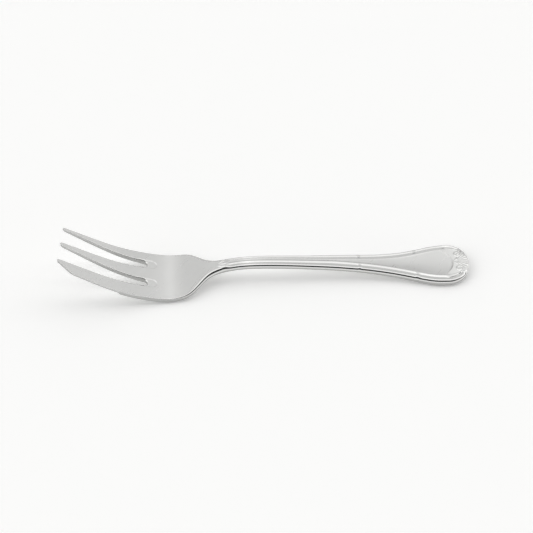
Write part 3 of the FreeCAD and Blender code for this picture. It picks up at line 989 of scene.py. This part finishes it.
# ---------------------------------------------------------------------------------------
# Add-on
# ---------------------------------------------------------------------------------------
class PastryForkLook(PropertyGroup):
    """The fork's fine forms and its finish."""
    edge_round: FloatProperty(name="Edge round", default=0.22, min=0.1, max=0.5,
                              description="Radius of the head's upper edge, in millimetres")
    slot_round: FloatProperty(name="Slot edge round", default=0.42, min=0.1, max=0.6,
                              description="Radius of the upper edge in the slots, in millimetres")
    bead_round: FloatProperty(name="Bead round", default=1.3, min=0.3, max=1.4,
                              description="Radius of the handle's upper edge, in millimetres")
    lower_round: FloatProperty(name="Lower edge round", default=0.9, min=0.1, max=1.2,
                               description="Radius of the broken lower edge, in millimetres")
    thread_depth: FloatProperty(name="Thread depth", default=0.24, min=0.0, max=0.5,
                                description="Depth of the border's groove, in millimetres")
    panel_inset: FloatProperty(name="Panel inset", default=3.2, min=1.5, max=4.0,
                               description="From the outline to the panel's wall, in millimetres")
    panel_depth: FloatProperty(name="Panel depth", default=0.04, min=0.0, max=0.6,
                               description="Depth of the panel at its wall, in millimetres")
    panel_hollow: FloatProperty(name="Panel hollow", default=0.35, min=0.0, max=0.8,
                                description="How much deeper its middle is, in millimetres")
    steel_colour: FloatVectorProperty(name="Steel", subtype="COLOR", default=(0.76, 0.76, 0.75),
                                      min=0, max=1, description="Colour of the stainless steel")
    satin_roughness: FloatProperty(name="Satin roughness", default=0.3, min=0.05, max=0.7,
                                   description="Roughness of the head and the panel")
    polish_roughness: FloatProperty(name="Polish roughness", default=0.13, min=0.02, max=0.5,
                                    description="Roughness of the edges and the beads")
    # Painted shade: how far the flanks' colour is darkened, for the shadowed table that they
    # reflect
    flank_shade_tone: FloatProperty(name="Flank tone", default=0.62, min=0.3, max=1.0,
                              description="Colour of the ground flanks over that of the steel")
    brush_strength: FloatProperty(name="Brushing", default=0.6, min=0.0, max=1.0,
                                  description="Strength of the brushed streaks")


class PastryForkStage(PropertyGroup):
    """The table top, the room's light and the camera."""
    floor_colour: FloatVectorProperty(name="Table", subtype="COLOR", default=(0.95, 0.95, 0.945),
                                      min=0, max=1, description="Colour of the table top")
    floor_lift: FloatProperty(name="Table lift", default=0.2, min=0.0, max=1.0,
                              description="Brightness added to the table top where it is seen")
    room_strength: FloatProperty(name="Room light", default=1.0, min=0.0, max=5.0,
                                 description="Strength of the room's light")
    horizon_glow: FloatProperty(name="Backdrop", default=0.85, min=0.0, max=2.0,
                                description="Brightness of the room at the table's height")
    lens: FloatProperty(name="Lens", default=93.8, min=20.0, max=300.0,
                        description="Focal length in millimetres on a 36 mm sensor")


class PASTRYFORK_OT_forging(Operator):
    """Make the forged fork with its thread border, shell and scrolls"""
    bl_idname = "pastryfork.forging"
    bl_label = "Forged fork"

    def execute(self, context):
        look = context.scene.pastry_fork_look
        piece = bpy.data.objects.new("fork_forging", make_fork_mesh(look))
        context.scene.collection.objects.link(piece)
        piece.data.materials.append(steel_finish(look))
        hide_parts("fork")
        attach(piece, "root")
        return {"FINISHED"}


class PASTRYFORK_OT_stage(Operator):
    """Make the pale table top, the soft light and the camera"""
    bl_idname = "pastryfork.stage"
    bl_label = "Studio"

    def execute(self, context):
        scene = context.scene
        look = scene.pastry_fork_stage
        table = make_table(look)
        scene.collection.objects.link(table)
        room_light(look)
        camera = make_camera(look)
        scene.collection.objects.link(camera)
        scene.camera = camera
        scene.view_settings.view_transform = "Standard"
        return {"FINISHED"}


class PASTRYFORK_PT_panel(Panel):
    """The fork's sizes, finish and studio"""
    bl_idname = "PASTRYFORK_PT_panel"
    bl_label = "Pastry fork"
    bl_space_type = "VIEW_3D"
    bl_region_type = "UI"
    bl_category = "Pastry fork"

    def draw(self, context):
        column = self.layout.column()
        for group in (context.scene.pastry_fork_look, context.scene.pastry_fork_stage):
            for name in group.bl_rna.properties.keys():
                if name not in ("rna_type", "name"):
                    column.prop(group, name)
        column.operator(PASTRYFORK_OT_forging.bl_idname)
        column.operator(PASTRYFORK_OT_stage.bl_idname)


CLASSES = (PastryForkLook, PastryForkStage, PASTRYFORK_OT_forging, PASTRYFORK_OT_stage,
           PASTRYFORK_PT_panel)


def register():
    for item in CLASSES:
        bpy.utils.register_class(item)
    bpy.types.Scene.pastry_fork_look = PointerProperty(type=PastryForkLook)
    bpy.types.Scene.pastry_fork_stage = PointerProperty(type=PastryForkStage)


def unregister():
    del bpy.types.Scene.pastry_fork_stage
    del bpy.types.Scene.pastry_fork_look
    for item in reversed(CLASSES):
        bpy.utils.unregister_class(item)


def main():
    register()
    bpy.ops.pastryfork.forging()
    bpy.ops.pastryfork.stage()


if __name__ == "__main__":
    main()
